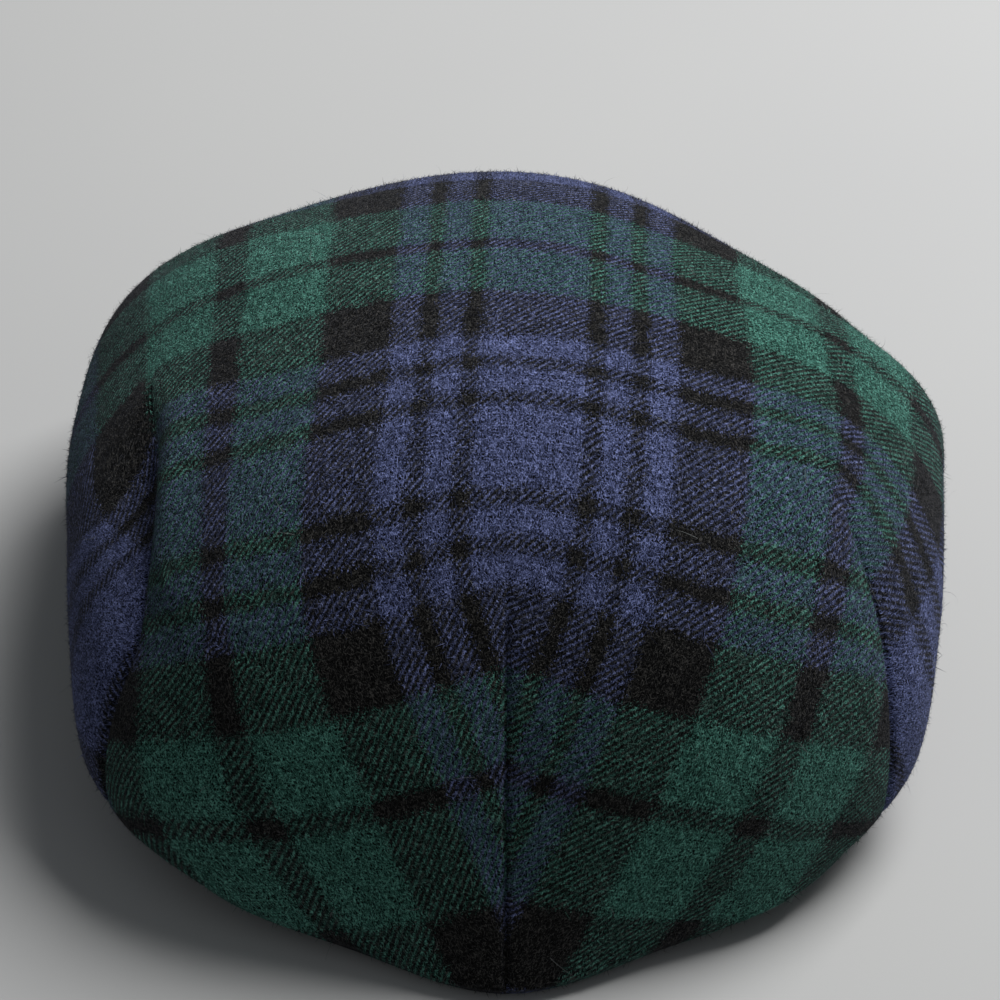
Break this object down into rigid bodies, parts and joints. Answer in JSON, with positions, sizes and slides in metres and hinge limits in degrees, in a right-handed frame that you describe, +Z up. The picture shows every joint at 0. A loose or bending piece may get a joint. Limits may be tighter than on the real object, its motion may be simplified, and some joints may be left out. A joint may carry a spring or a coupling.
{
  "type": "flat cap",
  "caption": "Soft cloth flat cap with a one-piece crown, darted at the front, drawn over a short stiff peak.",
  "frame": {"origin": "under the middle of the cap, on the surface that its rim rests on", "axes": "+Z up, the peak points to -Y, +X to the right as seen from the front"},
  "size_m": [0.2377, 0.2516, 0.1135],
  "materials": {
    "crown_wool": "brushed twill",
    "peak_wool": "brushed twill"
  },
  "bodies": {
    "root": {"crown": "crown_wool", "peak": "peak_wool"}
  },
  "joints": []
}
